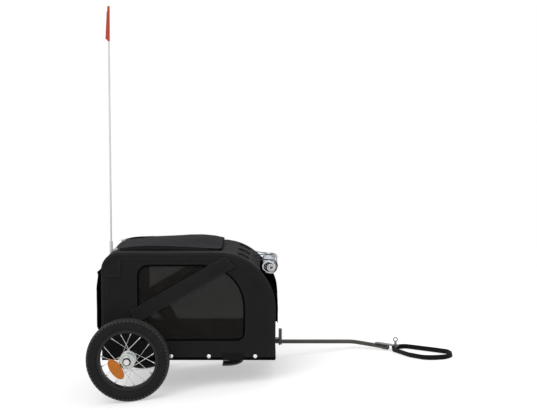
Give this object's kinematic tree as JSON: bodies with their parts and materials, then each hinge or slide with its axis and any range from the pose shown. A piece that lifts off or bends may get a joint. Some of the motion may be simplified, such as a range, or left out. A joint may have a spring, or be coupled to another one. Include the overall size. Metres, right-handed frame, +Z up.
{
  "type": "dog bike trailer",
  "caption": "Fabric-sided dog trailer on spoked wheels with a cranked drawbar, roof hatch, mesh windows, front and rear flap doors, rolled rain cover and flag.",
  "frame": {"origin": "middle of the overall box on the ground the parked trailer stands on", "axes": "+X forward along the drawbar, +Y to the trailer's left, +Z up"},
  "size_m": [1.3198, 0.62, 1.4349],
  "materials": {
    "tyre_rubber": "matt grooved rubber",
    "rim_black": "black enamel",
    "hub_zinc": "dull zinc plate",
    "spoke_steel": "zinc plate",
    "orange_reflector": "ribbed clear orange",
    "bright_steel": "bright plate",
    "painted_bracket": "black enamel",
    "black_tube": "black powder coat",
    "floor_board": "cloth over a stiff board",
    "grey_cloth": "coated polyester cloth",
    "window_mesh": "fine woven mesh",
    "black_cloth": "black coated cloth",
    "clear_film": "clear film, rolled",
    "black_webbing": "woven webbing",
    "drawbar_paint": "dark grey powder coat",
    "cap_zinc": "zinc plate",
    "black_plastic": "moulded",
    "pole_fibre": "pale fibreglass",
    "flag_cloth": "red-orange nylon"
  },
  "bodies": {
    "trailer": {"base_rail_right": "black_tube", "base_rail_left": "black_tube", "base_cross_tubes": "black_tube", "floor_board": "floor_board", "hoop_right": "black_tube", "hoop_left": "black_tube", "roof_cross_tubes": "black_tube", "brace_right": "black_tube", "brace_left": "black_tube", "side_panel_right": "grey_cloth", "side_panel_left": "grey_cloth", "side_mesh_right": "window_mesh", "side_mesh_left": "window_mesh", "window_band_right": "grey_cloth", "window_band_left": "grey_cloth", "corner_patch_right": "grey_cloth", "corner_patch_left": "grey_cloth", "roof_panel": "grey_cloth", "front_panel": "black_cloth", "front_lower_panel": "grey_cloth", "rear_lower_panel": "grey_cloth", "rain_cover": "clear_film", "roll_strap_right": "black_webbing", "roll_strap_left": "black_webbing", "axle_bracket_right": "painted_bracket", "axle_bracket_left": "painted_bracket", "axle_right": "bright_steel", "axle_left": "bright_steel", "drawbar": "drawbar_paint", "drawbar_cap": "cap_zinc", "drawbar_socket": "painted_bracket", "drawbar_bracket": "cap_zinc", "drawbar_pin": "bright_steel", "drawbar_hook": "black_plastic", "hitch_plate": "painted_bracket", "hitch_pin": "bright_steel", "hitch_strap": "black_webbing", "flag_pole": "pole_fibre", "flag_socket": "black_plastic", "flag": "flag_cloth"},
    "wheel_right": {"hub_right": "hub_zinc", "rim_right": "rim_black", "tyre_right": "tyre_rubber", "spokes_right": "spoke_steel", "wheel_reflector_right": "orange_reflector"},
    "wheel_left": {"hub_left": "hub_zinc", "rim_left": "rim_black", "tyre_left": "tyre_rubber", "spokes_left": "spoke_steel", "wheel_reflector_left": "orange_reflector"},
    "roof_hatch": {"roof_hatch": "grey_cloth"},
    "front_door": {"front_door": "black_cloth"},
    "rear_door": {"rear_door": "grey_cloth", "rear_pocket": "black_cloth"}
  },
  "joints": [
    {"name": "wheel_right_spin", "type": "hinge", "parent": "trailer", "child": "wheel_right", "pos_m": [-0.50993, -0.267, 0.15], "axis": [0, 1, 0], "continuous": true},
    {"name": "wheel_left_spin", "type": "hinge", "parent": "trailer", "child": "wheel_left", "pos_m": [-0.50993, 0.267, 0.15], "axis": [0, 1, 0], "continuous": true},
    {"name": "roof_hatch_lift", "type": "hinge", "parent": "trailer", "child": "roof_hatch", "pos_m": [-0.50856, 0, 0.53272], "axis": [0, -1, 0], "range_deg": [0, 110]},
    {"name": "front_door_lift", "type": "hinge", "parent": "trailer", "child": "front_door", "pos_m": [0.0268, 0, 0.36726], "axis": [0, -1, 0], "range_deg": [0, 75]},
    {"name": "rear_door_lift", "type": "hinge", "parent": "trailer", "child": "rear_door", "pos_m": [-0.5731, 0, 0.47149], "axis": [0, 1, 0], "range_deg": [0, 100]}
  ]
}
